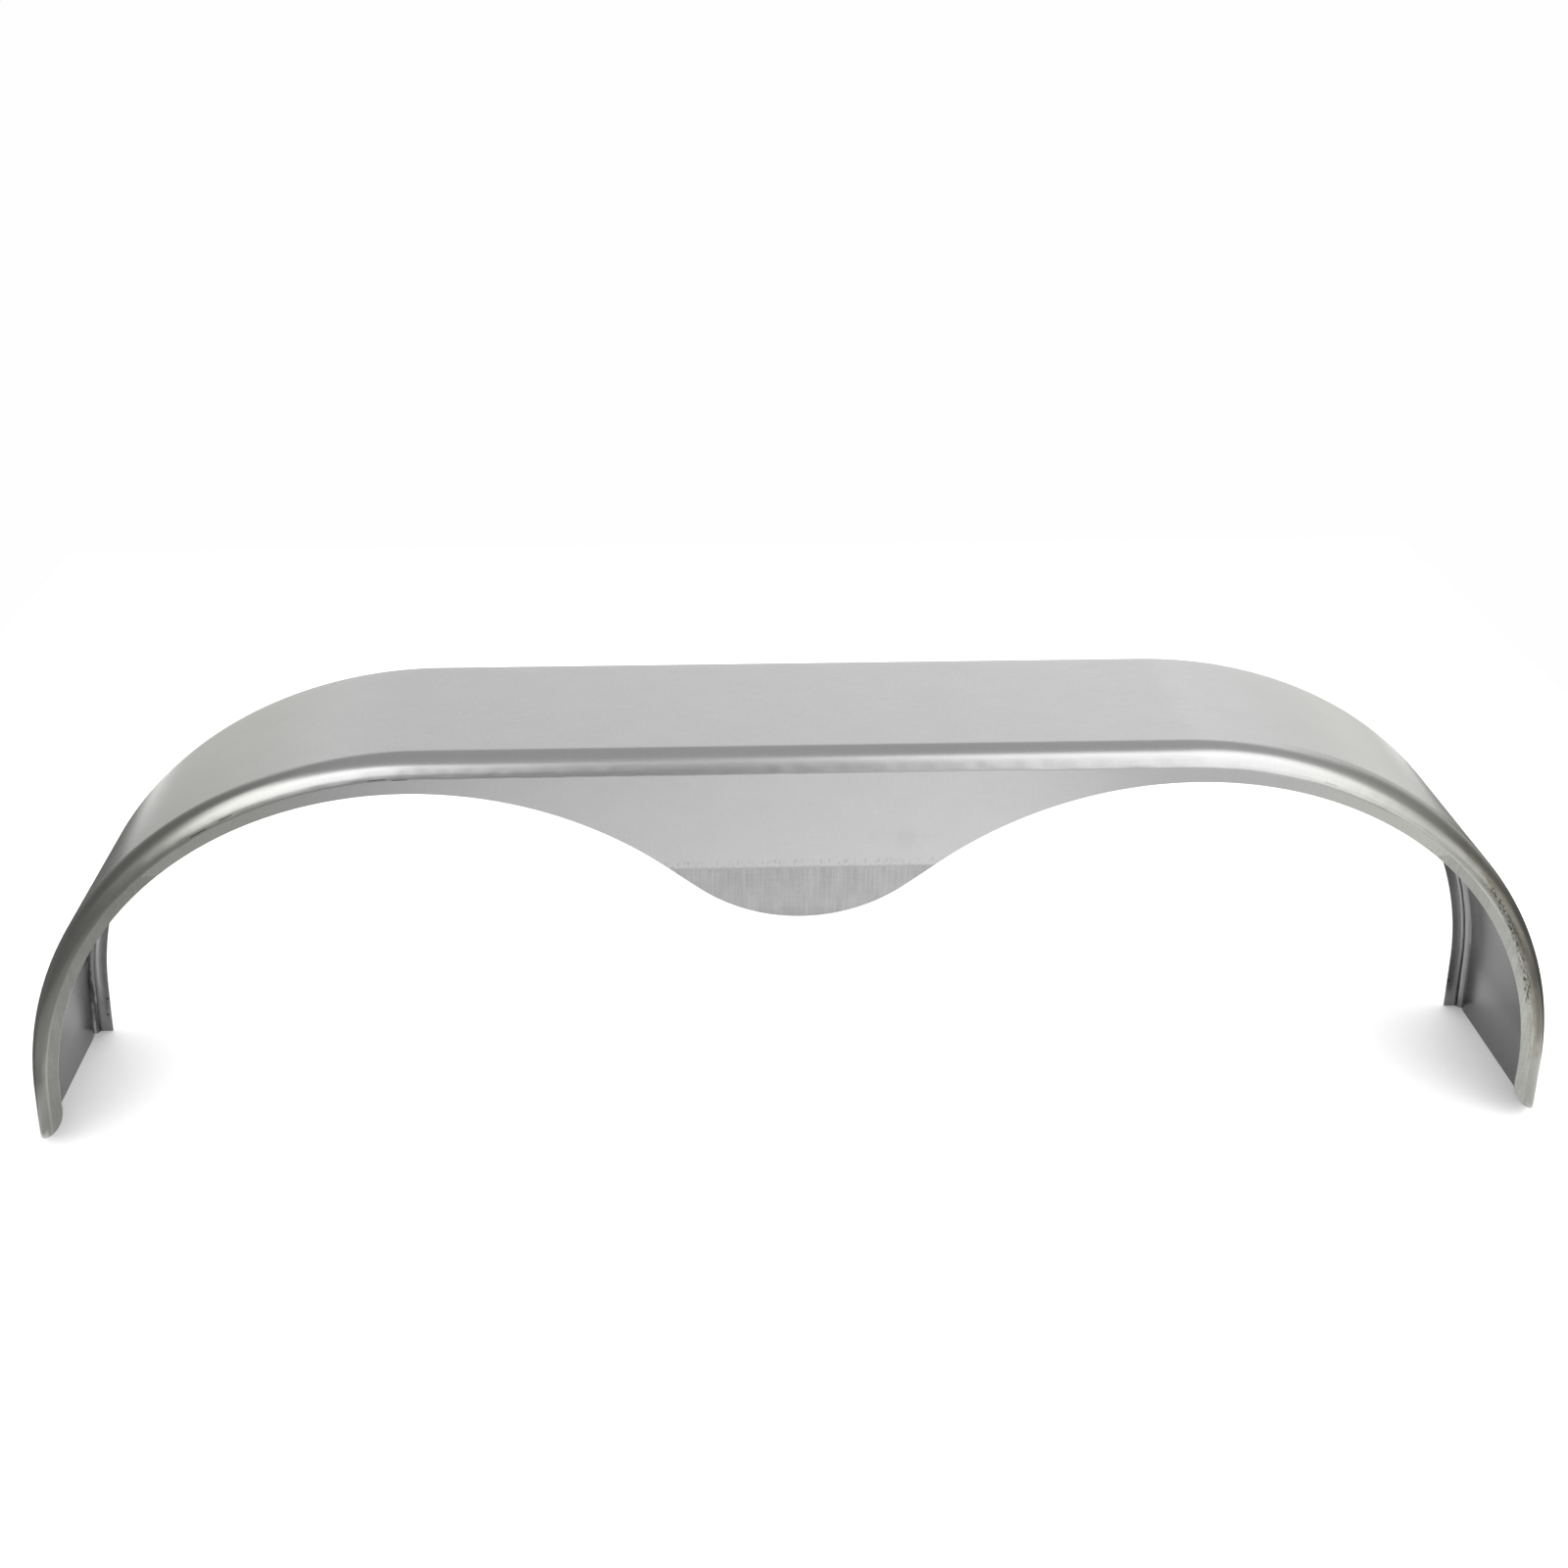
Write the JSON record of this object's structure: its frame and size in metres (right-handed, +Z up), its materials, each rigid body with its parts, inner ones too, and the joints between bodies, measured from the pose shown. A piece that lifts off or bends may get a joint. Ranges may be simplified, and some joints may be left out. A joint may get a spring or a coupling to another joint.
{
  "type": "trailer mudguard",
  "caption": "Tandem-axle trailer mudguard in bare sheet steel: flat crown, rounded shoulders, short legs, rolled front edge, rear flange and a teardrop apron between the wheel cut-outs.",
  "frame": {"origin": "on the ground plane, midway between the two legs and midway through the width", "axes": "+X along the mudguard's length, +Y from the closed front towards the trailer side flange, +Z up"},
  "size_m": [1.829, 0.228, 0.53],
  "materials": {
    "strip_steel": "bare rolled steel strip, satin, with rubbed and scuffed bead",
    "apron_steel": "bare rolled steel plate, satin, with vertical rolling streaks"
  },
  "bodies": {
    "root": {"arch_strip": "strip_steel", "front_apron": "apron_steel"}
  },
  "joints": []
}
